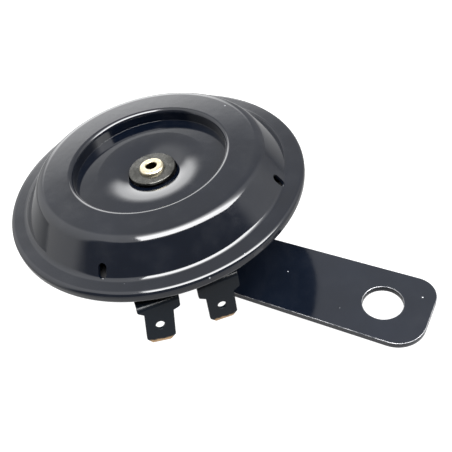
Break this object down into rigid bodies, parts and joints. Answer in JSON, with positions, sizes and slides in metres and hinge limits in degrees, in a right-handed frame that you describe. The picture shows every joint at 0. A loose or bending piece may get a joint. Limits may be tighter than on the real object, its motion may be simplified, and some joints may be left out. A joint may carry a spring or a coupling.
{
  "type": "car horn",
  "caption": "Flat disc horn with a raised ring round a riveted centre, push-on blade terminals below the rim and a straight strip bracket with a fixing hole.",
  "frame": {"origin": "centre of the bracket's fixing hole, on the bracket's front face", "axes": "+Z along the horn's axis towards its front, +X along the bracket away from the horn"},
  "size_m": [0.1032, 0.072, 0.0398],
  "materials": {
    "black_paint": "gloss",
    "bracket_paint": "satin",
    "black_collar": "satin",
    "washer_steel": "brushed",
    "spring_steel": "satin",
    "soft_iron": "satin",
    "zinc_steel": "satin",
    "rivet_brass": "polished",
    "brass": "satin",
    "dark_plating": "satin",
    "contact_metal": "satin",
    "copper_wire": "gloss",
    "gasket_paper": "matte",
    "nylon": "matte",
    "phenolic": "satin"
  },
  "bodies": {
    "root": {"front_cover": "black_paint", "front_gasket": "gasket_paper", "rear_gasket": "gasket_paper", "diaphragm": "spring_steel", "rear_pan": "black_paint", "core_stud": "zinc_steel", "coil_bobbin": "nylon", "coil_winding": "copper_wire", "armature": "soft_iron", "centre_collar": "black_collar", "centre_washer": "washer_steel", "centre_rivet": "rivet_brass", "contact_block": "phenolic", "contact_arm": "spring_steel", "moving_contact": "contact_metal", "fixed_contact": "contact_metal", "contact_strip": "brass", "contact_rivet": "brass", "inner_insulator": "phenolic", "outer_insulator": "phenolic", "terminal_left": "dark_plating", "terminal_right": "dark_plating", "terminal_rivets": "brass", "coil_leads": "copper_wire", "adjusting_screw": "zinc_steel", "adjusting_locknut": "zinc_steel", "bracket": "bracket_paint", "spring_washer": "zinc_steel", "bracket_nut": "zinc_steel"}
  },
  "joints": []
}
